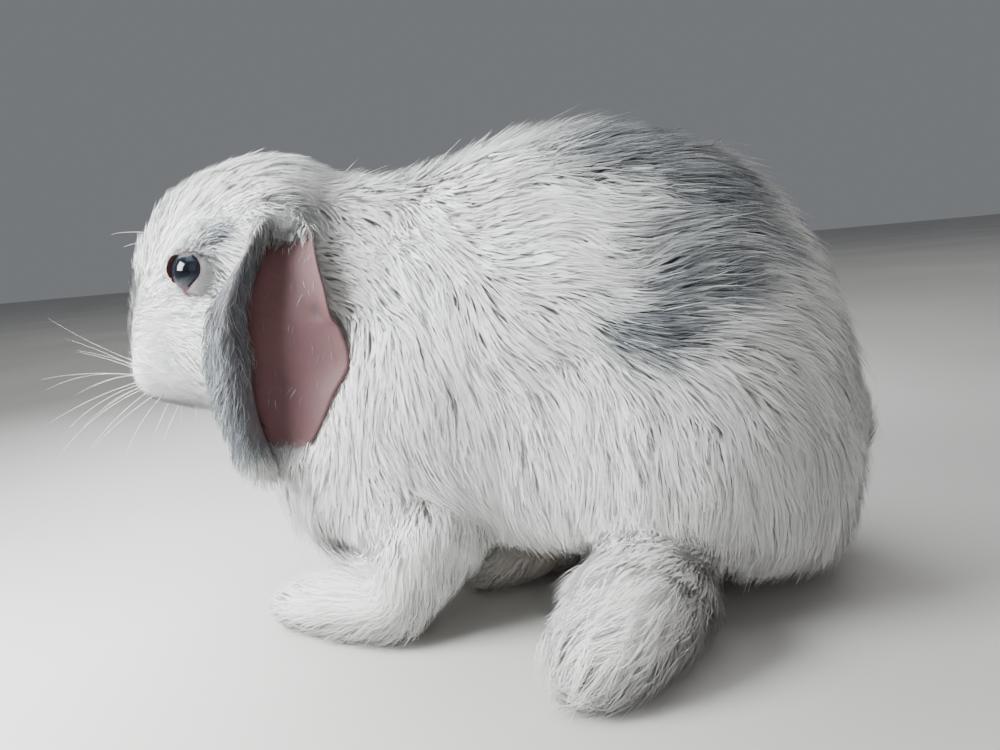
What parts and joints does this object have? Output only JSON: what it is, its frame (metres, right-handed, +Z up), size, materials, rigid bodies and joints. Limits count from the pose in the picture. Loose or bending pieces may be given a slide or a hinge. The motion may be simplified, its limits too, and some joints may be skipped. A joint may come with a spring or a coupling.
{
  "type": "lop rabbit",
  "caption": "Lop-eared rabbit crouching at rest, life-size still figure, long white coat with blue-grey patches, ears hanging beside the cheeks.",
  "frame": {"origin": "on the floor, under the middle of the figure's box, life-size", "axes": "+Z up, the rabbit faces -Y and its left side is towards +X"},
  "size_m": [0.1998, 0.3114, 0.1926],
  "materials": {
    "coat": "long soft fur, white with blue-grey patches on the back and flank",
    "ear": "short blue-grey fur on a thin ear, bare pink-brown skin in the hollow",
    "eye": "wet, glossy dark blue-grey eye"
  },
  "bodies": {
    "root": {"ear_left": "ear", "ear_right": "ear", "eye_left": "eye", "eye_right": "eye", "foreleg_left": "coat", "foreleg_right": "coat", "forepaw_left": "coat", "forepaw_right": "coat", "head": "coat", "hindfoot_left": "coat", "hindfoot_right": "coat", "neck": "coat", "tail": "coat", "thigh_left": "coat", "thigh_right": "coat", "trunk": "coat", "upper_foreleg_left": "coat", "upper_foreleg_right": "coat"}
  },
  "joints": []
}
